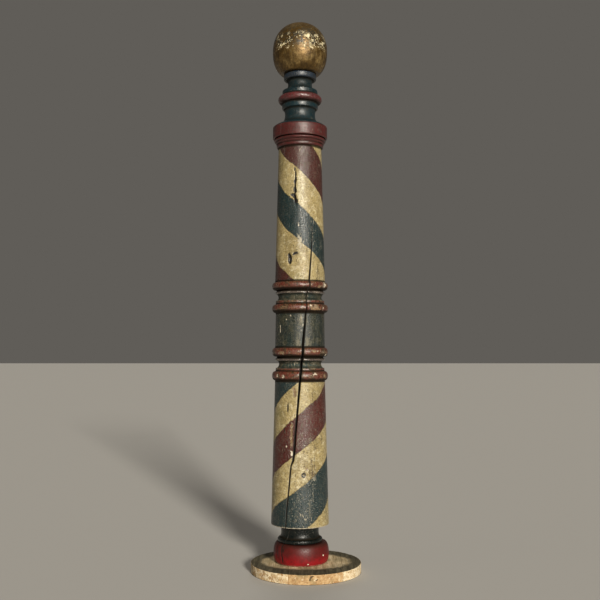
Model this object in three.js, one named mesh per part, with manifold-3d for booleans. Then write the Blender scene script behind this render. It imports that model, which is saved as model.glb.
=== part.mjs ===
// A turned and painted wooden barber pole on a round base of three boards.
// Millimetres, +Z up. The origin is on the floor, on the axis of the post.
import * as THREE from "three";
import { mergeVertices } from "three/addons/utils/BufferGeometryUtils.js";
import Module from "manifold-3d";

const wasm = await Module();
wasm.setup();

// ---- driving dimensions -------------------------------------------------

const gap = 0.3; // between pieces that touch
const postSides = 36; // facets round a large turning
const neckSides = 28; // facets round the neck and the ball
const holeSides = 20; // facets round a mortise or counterbore
const roundSides = 14; // facets round a dowel, a screw or its hole

const base = {
  thickness: 32.5,
  radius: 185,
  offsetX: 20, // the post doesn't stand on the middle of the base
  sides: 60,
};

const boardJoints = [-38, 138]; // where the three boards of the base meet, along X

const bun = {
  bottomRadius: 86,
  widestRadius: 93,
  shoulderRadius: 80,
  lip: 2, // a short upright edge under the swell
  widestHeight: 66,
  top: 101,
  offsetX: 4, // its axis misses the axis of the post by this much
};

const footTenon = { radius: 28, length: 46 };
const foot = {
  bandRadius: 75,
  bandTop: 114,
  flareRadius: 71.5,
  waistRadius: 63,
  waist: 134,
  neckRadius: 66.5,
};

const lowerShaft = { bottom: 159, bottomRadius: 97, top: 638, topRadius: 84 };

const lowerRings = {
  edgeRadius: 84,
  lowRing: { radius: 94, bottom: 639, top: 670 },
  hollow: { radius: 70.5, bottom: 680, waist: 696, top: 705 },
  highRing: { radius: 93.7, bottom: 719, top: 748 },
};

const drum = { bottom: 749, bottomRadius: 83.3, top: 864, topRadius: 81.5 };

const upperRings = {
  edgeRadius: 83.5,
  lowRing: { radius: 94, bottom: 865, top: 892 },
  hollow: { radius: 72, bottom: 904, waist: 915, top: 927 },
  highRing: { radius: 93.4, bottom: 940, top: 966 },
};

const upperShaft = { bottom: 967, bottomRadius: 83.5, top: 1415, topRadius: 71.6 };

const collar = {
  filletRadius: 78,
  filletTop: 1426,
  hollowRadius: 81,
  hollowHeight: 1430,
  beadInnerRadius: 83,
  beadRadius: 86.5,
  beadBottom: 1435,
  beadTop: 1443,
  grooveHeight: 1444.5,
  bandRadius: 91,
  top: 1485,
  chamfer: 1.5,
};

const neckTenon = { radius: 25, length: 76 };

const neck = {
  flangeRadius: 88,
  flangeLip: 2,
  shoulderRadius: 64,
  shoulderHeight: 1499.5,
  lowerWaistRadius: 50.5,
  lowerWaist: 1527,
  lowerFilletRadius: 60,
  lowerFilletBottom: 1546,
  ringRadius: 73,
  ringBottom: 1563.5,
  ringTop: 1590,
  upperFilletRadius: 59,
  upperFilletTop: 1607,
  upperWaistRadius: 40,
  upperWaist: 1627,
  underCapRadius: 49,
  capRadius: 54.7,
  capBottom: 1643,
  top: 1663,
};

const ball = { centre: 1739, radius: 91, top: 1833, upperSquareness: 2.15, lowerSquareness: 2.5 };

const finialDowel = { radius: 12.7, length: 110 };

const boardDowel = { radius: 6, length: 56, spacing: 150 };

const lagScrew = {
  radius: 4.75,
  length: 74,
  pointLength: 12,
  headAcrossCorners: 16.5,
  headHeight: 6.5,
  count: 3,
  circleRadius: 60,
};

const washer = { radius: 12.5, thickness: 2 };
const counterbore = { radius: 14, depth: 12 };

// ---- geometry helpers ---------------------------------------------------

const at = (radius, height) => new THREE.Vector2(radius, height);

// The points of an arc of an ellipse, in a profile of radius against height.
function ellipseArc(centre, halfWidth, halfHeight, from, to, steps) {
  const points = [];
  for (let i = 0; i <= steps; i++) {
    const angle = from + ((to - from) * i) / steps;
    points.push(at(centre.x + halfWidth * Math.cos(angle), centre.y + halfHeight * Math.sin(angle)));
  }
  return points;
}

// A half-round ring that swells out between two heights.
function ring(innerRadius, outerRadius, bottom, top, steps = 5) {
  const middle = at(innerRadius, (bottom + top) / 2);
  const halfHeight = (top - bottom) / 2;
  return ellipseArc(middle, outerRadius - innerRadius, halfHeight, -Math.PI / 2, Math.PI / 2, steps);
}

// A hollow with its waist between a lower and an upper edge.
function cove(lowerEdge, waist, upperEdge, steps = 3) {
  const lower = ellipseArc(
    at(lowerEdge.x, waist.y), waist.x - lowerEdge.x, lowerEdge.y - waist.y, Math.PI / 2, 0, steps,
  );
  const upper = ellipseArc(
    at(upperEdge.x, waist.y), waist.x - upperEdge.x, upperEdge.y - waist.y, 0, Math.PI / 2, steps,
  );
  return [...lower, ...upper.slice(1)];
}

// Turns a profile, written from the bottom up, about the Z axis.
function turned(profile, sides) {
  const geometry = new THREE.LatheGeometry(profile, sides);
  geometry.rotateX(Math.PI / 2);
  return geometry;
}

function uprightCylinder(radius, bottom, top, sides = roundSides) {
  const geometry = new THREE.CylinderGeometry(radius, radius, top - bottom, sides);
  geometry.rotateX(Math.PI / 2);
  geometry.translate(0, 0, (bottom + top) / 2);
  return geometry;
}

// A hole for a round piece: the flats of its facets clear the piece by the gap.
function uprightHole(pieceRadius, bottom, top, sides = roundSides) {
  return uprightCylinder((pieceRadius + gap) / Math.cos(Math.PI / sides), bottom, top, sides);
}

function solidFrom(geometry) {
  const bare = geometry.clone();
  bare.deleteAttribute("normal");
  bare.deleteAttribute("uv");
  const merged = mergeVertices(bare, 1e-3);
  return new wasm.Manifold(
    new wasm.Mesh({
      numProp: 3,
      vertProperties: merged.attributes.position.array,
      triVerts: new Uint32Array(merged.index.array),
    }),
  );
}

function geometryFrom(solid) {
  const mesh = solid.getMesh();
  const geometry = new THREE.BufferGeometry();
  geometry.setAttribute("position", new THREE.BufferAttribute(mesh.vertProperties, 3));
  geometry.setIndex(new THREE.BufferAttribute(mesh.triVerts, 1));
  geometry.computeVertexNormals();
  return geometry;
}

function cutFrom(geometry, cutters) {
  let solid = solidFrom(geometry);
  for (const cutter of cutters) solid = solid.subtract(solidFrom(cutter));
  return geometryFrom(solid);
}

// ---- materials ----------------------------------------------------------

function paintedWood(colour, roughness) {
  return new THREE.MeshStandardMaterial({ color: colour, roughness, metalness: 0 });
}

function gilding() {
  return new THREE.MeshStandardMaterial({ color: 0x6b5227, roughness: 0.42, metalness: 0.6 });
}

function bareWood(colour) {
  return new THREE.MeshStandardMaterial({ color: colour, roughness: 0.85, metalness: 0 });
}

function zincSteel() {
  return new THREE.MeshStandardMaterial({ color: 0x8d9092, roughness: 0.45, metalness: 1 });
}

const group = new THREE.Group();

function addPiece(name, geometry, material, x = 0, y = 0) {
  const mesh = new THREE.Mesh(geometry, material);
  mesh.name = name;
  mesh.position.set(x, y, 0);
  group.add(mesh);
}

// ---- where the screws and dowels of the base go ---------------------------

// The screws stand on a circle under the post, one in the left board and two in the middle one.
function screwPositions() {
  const positions = [];
  for (let i = 0; i < lagScrew.count; i++) {
    const angle = Math.PI + (i * 2 * Math.PI) / lagScrew.count;
    positions.push([lagScrew.circleRadius * Math.cos(angle), lagScrew.circleRadius * Math.sin(angle)]);
  }
  return positions;
}

function screwHole(bottom, top, [x, y]) {
  return uprightHole(lagScrew.radius, bottom, top).translate(x, y, 0);
}

// Two dowels cross each joint between boards, lying along X.
function dowelPositions() {
  const positions = [];
  for (const x of boardJoints) {
    for (const side of [-1, 1]) positions.push([x, (side * boardDowel.spacing) / 2]);
  }
  return positions;
}

// A dowel along X, halfway up the base.
function lyingDowel(radius, length) {
  const geometry = new THREE.CylinderGeometry(radius, radius, length, roundSides);
  geometry.rotateZ(Math.PI / 2);
  geometry.translate(0, 0, base.thickness / 2);
  return geometry;
}

function dowelHole() {
  return lyingDowel(boardDowel.radius + gap, boardDowel.length + 2 * gap);
}

// ---- the base -----------------------------------------------------------

function baseDisc() {
  return uprightCylinder(base.radius, 0, base.thickness, base.sides).translate(base.offsetX, 0, 0);
}

// The part of the disc between two planes of constant X, with its screw and dowel holes.
function board(left, right) {
  const reach = 2 * base.radius + 1;
  const slab = new THREE.BoxGeometry(right - left, reach, reach);
  slab.translate((left + right) / 2, 0, 0);
  const holes = screwPositions().flatMap((place) => [
    screwHole(-1, base.thickness + 1, place),
    uprightCylinder(counterbore.radius, -1, counterbore.depth, holeSides).translate(...place, 0),
  ]);
  for (const [x, y] of dowelPositions()) {
    holes.push(dowelHole().translate(x, y, 0));
  }
  const whole = geometryFrom(solidFrom(baseDisc()).intersect(solidFrom(slab)));
  return cutFrom(whole, holes);
}

function addBase() {
  const edges = [base.offsetX - base.radius - 1, ...boardJoints, base.offsetX + base.radius + 1];
  ["left", "middle", "right"].forEach((side, i) => {
    const piece = board(edges[i] + gap / 2, edges[i + 1] - gap / 2);
    addPiece("base_board_" + side, piece, bareWood(0x8c7a5c));
  });
  dowelPositions().forEach(([x, y], i) => {
    const dowel = lyingDowel(boardDowel.radius, boardDowel.length);
    addPiece("base_dowel_" + (i + 1), dowel, bareWood(0xc2a06a), x, y);
  });
}

// ---- the screws that hold the base to the foot ----------------------------

function lagScrewGeometry() {
  const headBottom = counterbore.depth - washer.thickness - gap - gap - lagScrew.headHeight;
  const shankBottom = headBottom + lagScrew.headHeight;
  const tip = shankBottom + lagScrew.length;
  const shank = turned(
    [
      at(0, shankBottom - 1),
      at(lagScrew.radius, shankBottom - 1),
      at(lagScrew.radius, tip - lagScrew.pointLength),
      at(0, tip),
    ],
    roundSides,
  );
  const head = uprightCylinder(lagScrew.headAcrossCorners / 2, headBottom, shankBottom, 6);
  return geometryFrom(solidFrom(shank).add(solidFrom(head)));
}

function washerGeometry() {
  const top = counterbore.depth - gap;
  const bottom = top - washer.thickness;
  const holeRadius = (lagScrew.radius + gap) / Math.cos(Math.PI / roundSides);
  return turned(
    [
      at(holeRadius, bottom),
      at(washer.radius, bottom),
      at(washer.radius, top),
      at(holeRadius, top),
      at(holeRadius, bottom),
    ],
    roundSides,
  );
}

function addScrews() {
  screwPositions().forEach(([x, y], i) => {
    addPiece("lag_screw_" + (i + 1), lagScrewGeometry(), zincSteel(), x, y);
    addPiece("lag_washer_" + (i + 1), washerGeometry(), zincSteel(), x, y);
  });
}

// ---- the bun foot ---------------------------------------------------------

function bunFoot() {
  const bottom = base.thickness + gap;
  const lowerSwell = ellipseArc(
    at(bun.bottomRadius, bun.widestHeight),
    bun.widestRadius - bun.bottomRadius,
    bun.widestHeight - bottom - bun.lip,
    -Math.PI / 2, 0, 5,
  );
  const upperSwell = ellipseArc(
    at(bun.shoulderRadius, bun.widestHeight),
    bun.widestRadius - bun.shoulderRadius,
    bun.top - bun.widestHeight,
    0, Math.PI / 2, 6,
  );
  const profile = [
    at(0, bottom), at(bun.bottomRadius, bottom), ...lowerSwell, ...upperSwell.slice(1), at(0, bun.top),
  ];
  const mortise = uprightHole(
    footTenon.radius, bun.top - footTenon.length - gap, bun.top + 1, holeSides,
  );
  const holeTop = counterbore.depth + lagScrew.length;
  const holes = screwPositions().map((place) => screwHole(bottom - 1, holeTop, place));
  return cutFrom(turned(profile, postSides).translate(bun.offsetX, 0, 0), [mortise, ...holes]);
}

// ---- the post: everything from the foot to the collar is one turning --------

// The tenon, a narrow band above it, and a hollow neck up to the shaft.
function footProfile() {
  const bottom = bun.top + gap;
  return [
    at(0, bottom - footTenon.length),
    at(footTenon.radius, bottom - footTenon.length),
    at(footTenon.radius, bottom),
    at(foot.bandRadius, bottom),
    at(foot.bandRadius, foot.bandTop - 1),
    at(foot.bandRadius - 1, foot.bandTop),
    ...cove(
      at(foot.flareRadius, foot.bandTop + 1), at(foot.waistRadius, foot.waist),
      at(foot.neckRadius, lowerShaft.bottom - 3),
    ),
    at(foot.neckRadius, lowerShaft.bottom),
  ];
}

function shaftProfile(shaft) {
  return [at(shaft.bottomRadius, shaft.bottom), at(shaft.topRadius, shaft.top)];
}

// Two rings with a hollow between them, each ring backed by a narrow fillet.
function doubleRing({ edgeRadius, lowRing, hollow, highRing }) {
  const lowFillet = edgeRadius - 2;
  const highFillet = edgeRadius - 1;
  const hollowEdge = edgeRadius - 3;
  const step = 0.5;
  return [
    ...ring(edgeRadius, lowRing.radius, lowRing.bottom, lowRing.top),
    at(lowFillet, lowRing.top + step),
    at(lowFillet, hollow.bottom),
    ...cove(at(hollowEdge, hollow.bottom + step), at(hollow.radius, hollow.waist), at(hollowEdge, hollow.top)),
    at(highFillet, hollow.top + step),
    at(highFillet, highRing.bottom - step),
    ...ring(edgeRadius, highRing.radius, highRing.bottom, highRing.top),
  ];
}

function collarProfile() {
  return [
    at(collar.filletRadius, upperShaft.top),
    at(collar.filletRadius, collar.filletTop),
    at(collar.hollowRadius, collar.hollowHeight),
    ...ring(collar.beadInnerRadius, collar.beadRadius, collar.beadBottom, collar.beadTop, 4),
    at(collar.hollowRadius, collar.grooveHeight),
    at(collar.bandRadius, collar.grooveHeight + 1),
    at(collar.bandRadius, collar.top - collar.chamfer),
    at(collar.bandRadius - collar.chamfer, collar.top),
    at(0, collar.top),
  ];
}

function postGeometry() {
  const profile = [
    ...footProfile(),
    ...shaftProfile(lowerShaft),
    ...doubleRing(lowerRings),
    ...shaftProfile(drum),
    ...doubleRing(upperRings),
    ...shaftProfile(upperShaft),
    ...collarProfile(),
  ];
  const mortise = uprightHole(
    neckTenon.radius, collar.top - neckTenon.length - gap, collar.top + 1, holeSides,
  );
  return cutFrom(turned(profile, postSides), [mortise]);
}

// ---- the neck spindle and the ball ----------------------------------------

// A tenon, a flange that spreads over the collar, a hollow, a ring between fillets, a hollow and a cap.
function neckSpindle() {
  const bottom = collar.top + gap;
  const step = 0.5;
  const profile = [
    at(0, bottom - neckTenon.length),
    at(neckTenon.radius, bottom - neckTenon.length),
    at(neckTenon.radius, bottom),
    at(neck.flangeRadius, bottom),
    at(neck.flangeRadius, bottom + neck.flangeLip),
    ...cove(
      at(neck.shoulderRadius, neck.shoulderHeight), at(neck.lowerWaistRadius, neck.lowerWaist),
      at(neck.lowerFilletRadius - 2, neck.lowerFilletBottom - step),
    ),
    at(neck.lowerFilletRadius, neck.lowerFilletBottom),
    at(neck.lowerFilletRadius, neck.ringBottom - step),
    ...ring(neck.lowerFilletRadius, neck.ringRadius, neck.ringBottom, neck.ringTop, 6),
    at(neck.upperFilletRadius, neck.ringTop + step),
    at(neck.upperFilletRadius, neck.upperFilletTop),
    ...cove(
      at(neck.upperFilletRadius - 2, neck.upperFilletTop + step), at(neck.upperWaistRadius, neck.upperWaist),
      at(neck.underCapRadius, neck.capBottom - step),
    ),
    at(neck.capRadius, neck.capBottom),
    at(neck.capRadius, neck.top),
    at(0, neck.top),
  ];
  const socket = uprightHole(
    finialDowel.radius, neck.top - finialDowel.length / 2 - gap, neck.top + 1,
  );
  return cutFrom(turned(profile, neckSides), [socket]);
}

// The ball is squarer than a sphere, more so below its middle, and flat where it sits on the neck.
function finialBall() {
  const flat = neck.top + gap;
  const halfHeight = ball.top - ball.centre;
  const steps = 14;
  const radiusAt = (height) => {
    const squareness = height < ball.centre ? ball.lowerSquareness : ball.upperSquareness;
    const level = Math.abs(height - ball.centre) / halfHeight;
    return ball.radius * Math.pow(1 - Math.pow(level, squareness), 1 / squareness);
  };
  const lowest = Math.asin((flat - ball.centre) / halfHeight);
  const profile = [at(0, flat)];
  for (let i = 0; i < steps; i++) {
    const angle = lowest + ((Math.PI / 2 - lowest) * i) / steps;
    const height = ball.centre + halfHeight * Math.sin(angle);
    profile.push(at(radiusAt(height), height));
  }
  profile.push(at(0, ball.top));
  const socket = uprightHole(
    finialDowel.radius, flat - 1, neck.top + finialDowel.length / 2 + gap,
  );
  return cutFrom(turned(profile, neckSides), [socket]);
}

function finialDowelGeometry() {
  const half = finialDowel.length / 2;
  return uprightCylinder(finialDowel.radius, neck.top - half, neck.top + half);
}

// ---- assembly -------------------------------------------------------------

addBase();
addScrews();
addPiece("bun_foot", bunFoot(), paintedWood(0x6e1b1f, 0.3));
addPiece("post", postGeometry(), paintedWood(0xb5aa7c, 0.55));
addPiece("neck_spindle", neckSpindle(), paintedWood(0x1d3640, 0.45));
addPiece("finial_dowel", finialDowelGeometry(), bareWood(0xc2a06a));
addPiece("finial_ball", finialBall(), gilding());

export default group;
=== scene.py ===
import math
from dataclasses import dataclass

import bmesh
import bpy
import numpy as np
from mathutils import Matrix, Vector, noise


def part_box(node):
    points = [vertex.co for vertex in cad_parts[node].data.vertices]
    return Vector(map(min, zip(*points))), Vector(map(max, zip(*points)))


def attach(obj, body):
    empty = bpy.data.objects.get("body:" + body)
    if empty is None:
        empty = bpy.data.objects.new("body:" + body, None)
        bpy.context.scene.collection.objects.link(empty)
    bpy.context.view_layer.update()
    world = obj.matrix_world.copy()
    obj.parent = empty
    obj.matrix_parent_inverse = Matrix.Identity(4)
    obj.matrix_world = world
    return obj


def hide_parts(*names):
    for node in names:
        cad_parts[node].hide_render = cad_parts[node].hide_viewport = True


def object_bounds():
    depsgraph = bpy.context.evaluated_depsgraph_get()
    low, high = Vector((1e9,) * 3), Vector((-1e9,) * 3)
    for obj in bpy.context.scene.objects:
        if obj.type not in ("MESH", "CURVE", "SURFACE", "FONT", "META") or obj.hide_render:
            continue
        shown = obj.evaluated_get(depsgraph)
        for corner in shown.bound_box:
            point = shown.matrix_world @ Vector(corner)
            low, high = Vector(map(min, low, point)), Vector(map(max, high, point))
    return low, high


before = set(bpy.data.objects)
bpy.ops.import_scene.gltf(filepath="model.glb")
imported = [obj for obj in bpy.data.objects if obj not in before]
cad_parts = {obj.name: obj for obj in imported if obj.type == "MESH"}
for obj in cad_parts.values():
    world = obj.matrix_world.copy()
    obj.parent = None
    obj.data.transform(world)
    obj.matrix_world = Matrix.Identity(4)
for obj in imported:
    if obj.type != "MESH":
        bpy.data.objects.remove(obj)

# A turned wooden barber pole, painted long ago and weathered since, on a round base of three boards.
# Sizes are in millimetres until a mesh is made; angles round the post are in degrees, with 0 at the
# front (-Y) and positive towards +X.
MM = 0.001
cad_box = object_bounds()

# ---- sizes ----


def levels(node):
    """The lowest and highest levels of a CAD node, in millimetres."""
    low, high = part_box(node)
    return low.z / MM, high.z / MM


def middle_x(*nodes):
    """The middle along X, in millimetres, of the box round these CAD nodes."""
    lows = [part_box(node)[0].x for node in nodes]
    highs = [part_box(node)[1].x for node in nodes]
    return (min(lows) + max(highs)) / 2 / MM


FLOOR, BASE_TOP = levels("base_board_middle")
BUN_TOP = levels("bun_foot")[1]
POST_BOTTOM, COLLAR_TOP = levels("post")
NECK_BOTTOM, NECK_TOP = levels("neck_spindle")
BALL_BOTTOM, BALL_TOP = levels("finial_ball")
BASE_X = middle_x("base_board_left", "base_board_right")
BUN_X = middle_x("bun_foot")
BASE_RADIUS = (cad_box[1].x - cad_box[0].x) / 2 / MM

LOWER_SHAFT = {"bottom": 159, "bottom_radius": 97, "top": 638, "top_radius": 84}
DRUM = {"bottom": 749, "bottom_radius": 83.3, "top": 864, "top_radius": 81.5}
UPPER_SHAFT = {"bottom": 967, "bottom_radius": 83.5, "top": 1415, "top_radius": 71.6}

# How far apart rows lie along a profile: plain shafts need fewer rows than mouldings.
PLAIN = 5
MOULDED = 2.1
HIDDEN = 8
UNDERSIDE = 6

# ---- profiles: lists of (radius, height), written from the bottom up ----
#
# A stretch of a profile is its paint, its points and, where it isn't MOULDED, its spacing.


def arc(centre, half_width, half_height, start, end, steps):
    """Points of an arc of an ellipse. The angles are in degrees."""
    points = []
    for angle in np.radians(np.linspace(start, end, steps + 1)):
        radius = centre[0] + half_width * math.cos(angle)
        points.append((radius, centre[1] + half_height * math.sin(angle)))
    return points


def ring(inner, outer, bottom, top, steps=16):
    """A half-round ring that swells out between two heights."""
    return arc((inner, (bottom + top) / 2), outer - inner, (top - bottom) / 2, -90, 90, steps)


def cove(lower, waist, upper, steps=8):
    """A hollow with its waist between a lower and an upper edge."""
    below = arc((lower[0], waist[1]), waist[0] - lower[0], lower[1] - waist[1], 90, 0, steps)
    above = arc((upper[0], waist[1]), waist[0] - upper[0], upper[1] - waist[1], 0, 90, steps)
    return below + above[1:]


def double_ring(edge, low_ring, waist, high_ring):
    """Two painted rings with fillets and a cove between them, as stretches of a profile.

    A ring has its radius and two heights; the waist has its radius and the heights of the cove's lower
    edge, narrowest place and upper edge.
    """
    groove = (waist[3] + high_ring[1]) / 2 + 1
    hollow = cove((edge - 3, waist[1] + 0.5), (waist[0], waist[2]), (edge - 3, waist[3]))
    return [
        ("ring_red", ring(edge, *low_ring)),
        ("ring_red", [(edge - 2, low_ring[2] + 0.5), (edge - 2, waist[1])]),
        ("ring_blue", hollow),
        ("ring_fillet", [(edge - 1, waist[3] + 0.5), (edge - 1, groove - 1)]),
        # The groove under the high ring is painted near black, a painted shade.
        ("ring_groove", [(edge - 6, groove), (edge - 6, high_ring[1] - 0.5)]),
        ("ring_red", ring(edge, *high_ring)),
    ]


def foot_stretches():
    tenon_top = BUN_TOP + 0.3
    neck_top = LOWER_SHAFT["bottom"]
    return [
        ("dowel", [(28, POST_BOTTOM), (28, tenon_top)], HIDDEN),
        ("foot_blue", [(74.4, tenon_top), (75, tenon_top + 1), (75, 112.6), (74, 114)]),
        ("foot_blue", cove((71.5, 115), (63, 134), (66.5, neck_top - 3))),
        ("foot_blue", [(66.5, neck_top - 1), (66.5, neck_top)]),
    ]


def collar_stretches():
    return [
        ("collar_red", [(78, 1415), (78, 1426)]),
        ("collar_red", [(80.6, 1429), (81, 1430), (81.6, 1433)]),
        ("collar_red", ring(83, 86.5, 1435, 1443, 8)),
        ("collar_red", [(81, 1444.5), (90.4, 1445.3), (91, 1446.5), (91, COLLAR_TOP - 1.5)]),
        ("collar_red", [(89.5, COLLAR_TOP), (60, COLLAR_TOP), (25.6, COLLAR_TOP)]),
        ("dowel", [(25.6, COLLAR_TOP - 1), (25.6, COLLAR_TOP - 76)], HIDDEN),
    ]


def shaft_stretch(paint, shaft):
    points = [(shaft["bottom_radius"], shaft["bottom"]), (shaft["top_radius"], shaft["top"])]
    return (paint, points, PLAIN)


def post_stretches():
    foot = LOWER_SHAFT["bottom"]
    return [
        *foot_stretches(),
        ("raw_end", [(68, foot), (95.5, foot)]),
        ("bare_edge", [(96.2, foot + 0.5), (96.8, foot + 1.4), (97, foot + 2.6)]),
        shaft_stretch("lower_stripes", {**LOWER_SHAFT, "bottom": foot + 4}),
        *double_ring(84, (94, 639, 670), (70.5, 680, 696, 705), (93.7, 719, 748)),
        shaft_stretch("drum_green", DRUM),
        *double_ring(83.5, (94, 865, 892), (72, 904, 915, 927), (93.4, 940, 966)),
        shaft_stretch("upper_stripes", UPPER_SHAFT),
        *collar_stretches(),
    ]


def neck_stretches():
    flange = COLLAR_TOP + 0.3
    return [
        ("dowel", [(25, NECK_BOTTOM), (25, flange)], HIDDEN),
        ("neck_blue", [(60, flange), (87.2, flange), (88, flange + 0.8), (88, flange + 2)]),
        ("neck_blue", cove((64, 1499.5), (50.5, 1527), (57.8, 1545.5))),
        ("neck_blue", [(59.4, 1546), (60, 1547), (60, 1562.6)]),
        ("neck_red", ring(60, 73, 1563.5, 1590, 18)),
        ("neck_blue", [(59, 1590.5), (59, 1606.4), (58.2, 1607)]),
        ("neck_blue", cove((57, 1607.5), (40, 1627), (49, NECK_TOP - 20.5))),
        ("neck_cap", [(53.8, NECK_TOP - 20), (54.7, NECK_TOP - 19)]),
        ("neck_cap", [(54.7, NECK_TOP - 1), (53.8, NECK_TOP), (13.2, NECK_TOP)]),
        ("dowel", [(13.2, NECK_TOP), (13.2, NECK_TOP - 55)], HIDDEN),
    ]


def bun_stretches():
    bottom = BASE_TOP + 0.3
    widest = 66
    lower = arc((86, widest), 7, widest - bottom - 2, -90, 0, 16)
    upper = arc((80, widest), 13, BUN_TOP - widest, 0, 90, 20)
    return [
        ("bun_red", [(30, bottom), (85, bottom), (86, bottom + 1)], HIDDEN),
        ("bun_red", lower + upper[1:]),
        ("bun_red", [(79, BUN_TOP), (60, BUN_TOP), (28.5, BUN_TOP)]),
        ("dowel", [(28.5, BUN_TOP), (28.5, BUN_TOP - 46)], HIDDEN),
    ]


def ball_stretches():
    """A ball a little squarer than a true one, most of all below its middle."""
    centre = 1739
    widest = 91
    steps = 96
    half_height = BALL_TOP - centre
    lowest = math.asin((BALL_BOTTOM - centre) / half_height)
    points = []
    for angle in np.linspace(lowest, math.pi / 2, steps)[:-1]:
        squareness = 2.5 if angle < 0 else 2.15
        level = abs(math.sin(angle))
        radius = widest * (1 - level**squareness) ** (1 / squareness)
        points.append((radius, centre + half_height * math.sin(angle)))
    return [
        ("dowel", [(13.2, BALL_BOTTOM + 55), (13.2, BALL_BOTTOM)], HIDDEN),
        ("gilding", [(13.3, BALL_BOTTOM), (points[0][0] - 1, BALL_BOTTOM)], UNDERSIDE),
        ("gilding", points, PLAIN),
    ]


# ---- cracks and damage ----

# Each drying crack has rows of (height, angle, width), from the bottom up.
MAIN_CRACK = [
    (56, -42, 1.4), (103, -41, 1.8), (120, -38.5, 2), (156, -31, 2.6), (165, -29.5, 3.4),
    (227, -27.2, 4.2), (279, -23.8, 5.2), (336, -20.6, 5.4), (362, -19.2, 5), (380, -14.4, 7.4),
    (410, -12.4, 8.4), (456, -10.6, 7.4), (528, -6.5, 6.6), (586, -3.1, 6.8), (636, -0.4, 7.6),
    (665, 1.3, 9), (714, 4.8, 9.6), (766, 7.2, 8.4), (818, 10.8, 5.8), (851, 13.2, 4.6),
    (877, 13.8, 4), (910, 15.6, 3.4), (933, 18.2, 3.6), (949, 20.6, 4.6), (971, 21.5, 5.8),
    (1032, 25.7, 5.4), (1081, 28.9, 4), (1108, 30.4, 2.6), (1141, 31.6, 1.2), (1161, 32, 0),
    (1490, 34, 0),
]
UPPER_CHECK = [
    (56, -80, 0), (1221, -11, 0), (1229, -11.5, 4.6), (1240, -14, 5), (1252, -13.2, 4.2),
    (1264, -11.6, 4.6), (1277, -13.3, 2.6), (1290, -10.8, 4.4), (1302, -12.6, 2), (1314, -10, 3.8),
    (1326, -11.8, 1.4), (1341, -9.8, 0), (1490, -9, 0),
]
COLLAR_CHECK = [
    (56, -118, 0), (1381, -46, 0), (1396, -45.4, 1), (1470, -43.4, 1.2), (1482, -43, 0),
    (1490, -42.8, 0),
]
BACK_CHECK = [
    (56, 152, 0), (226, 156, 0), (258, 157, 2), (416, 161, 3.4), (556, 163, 2), (596, 164, 0),
    (1490, 170, 0),
]
CRACKS = [MAIN_CRACK, BACK_CHECK, COLLAR_CHECK, UPPER_CHECK]

# Columns across a crack: (share of the half width, extra distance, share of the depth).
CRACK_COLUMNS = [
    (-1, -3.2, 0), (-1, -1, 0.004), (-1, 0, 0.03), (-0.78, 0, 0.42), (-0.4, 0, 0.85), (0, 0, 1),
    (0.4, 0, 0.85), (0.78, 0, 0.42), (1, 0, 0.03), (1, 1, 0.004), (1, 3.2, 0),
]
LEAST_CRACK = 0.5  # the crack's columns never close up further than this
OPEN_CRACK = 0.05  # a narrower crack has no depth
CRACK_DEPTH = 6.5  # a crack's depth over its width
DEEPEST_CRACK = 30
WOOD_DEPTH = 2.5  # a crack shows dark wood where it is deeper than this
LEAST_RADIUS = 30  # keeps the columns of a crack in order near the axis
# Columns of plain surface between one crack and the next, going round from the main crack.
PLAIN_COLUMNS = [60, 44, 24, 22]

# Knots, gouges and chips, by what the hole shows: angle, height, half width, half height and depth.
MARKS = {
    "dark": [
        (-25, 1036, 8.5, 18, 8), (-27.5, 1052, 4.5, 8, 4), (-9.5, 1057, 10, 5, 3),
        (-15.5, 1053, 5.5, 3.4, 2), (-18.5, 1249, 9, 6, 3.5), (-13.5, 1243, 8, 7, 4),
        (-9.5, 1228, 7, 10, 5), (-11.2, 1316, 3, 14, 1.2), (-12.2, 1276, 3.4, 18, 1.2),
        (-13.6, 1333, 2.8, 8, 1), (-9.6, 1300, 2.8, 9, 1), (-14.2, 1292, 2.6, 8, 1),
        (-9.8, 1262, 2.8, 9, 1), (-15, 1266, 2.8, 9, 1), (-27.5, 553, 3, 22, 1.4),
        (-36, 476, 2.4, 10, 1), (132, 1176, 6, 11, 4), (-158, 466, 7, 10, 4),
    ],
    "knot": [
        (7.5, 333, 8.5, 10, 1.6), (96, 296, 6, 8, 1.6),
    ],
    "tan": [
        (14.4, 353, 5, 9, 1), (-12.6, 602, 7, 18, 1.2), (-18.5, 462, 6, 46, 1.2),
        (60, 655, 10, 8, 1.2), (34, 878, 22, 11, 1.2), (46, 949, 12, 7, 1),
        (30, 736, 12, 6, 1.2), (-40, 730, 16, 6, 1.2), (-46, 1214, 4, 5, 0.8),
        (171, 734, 8, 7, 2),
    ],
    "pale": [
        (-17.5, 406, 6, 13, 1.6), (-30, 425, 3.4, 6, 0.8), (-54, 655, 6, 8, 2),
        (-37, 654, 7, 9, 2.4), (33, 661, 12, 5, 1.6), (24, 886, 8, 3.4, 1.2),
        (55, 877, 4.5, 9, 1.2), (64, 953, 9, 13, 1.6), (70, 723, 8, 5, 1.6),
        (-52, 811, 2.2, 24, 1), (-22, 853, 3.4, 3.4, 0.8), (-33, 841, 2.6, 3, 0.8),
        (-3, 1150, 2.6, 12, 0.5), (118, 948, 9, 7, 2), (-140, 880, 12, 7, 2.2),
        (-112, 656, 7, 8, 2.2),
    ],
}
NECK_MARKS = {"pale": [(-44, 1613, 2.4, 3, 0.8), (15.6, 1611, 2.6, 2, 0.7), (140, 1574, 6, 4, 1)]}
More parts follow.
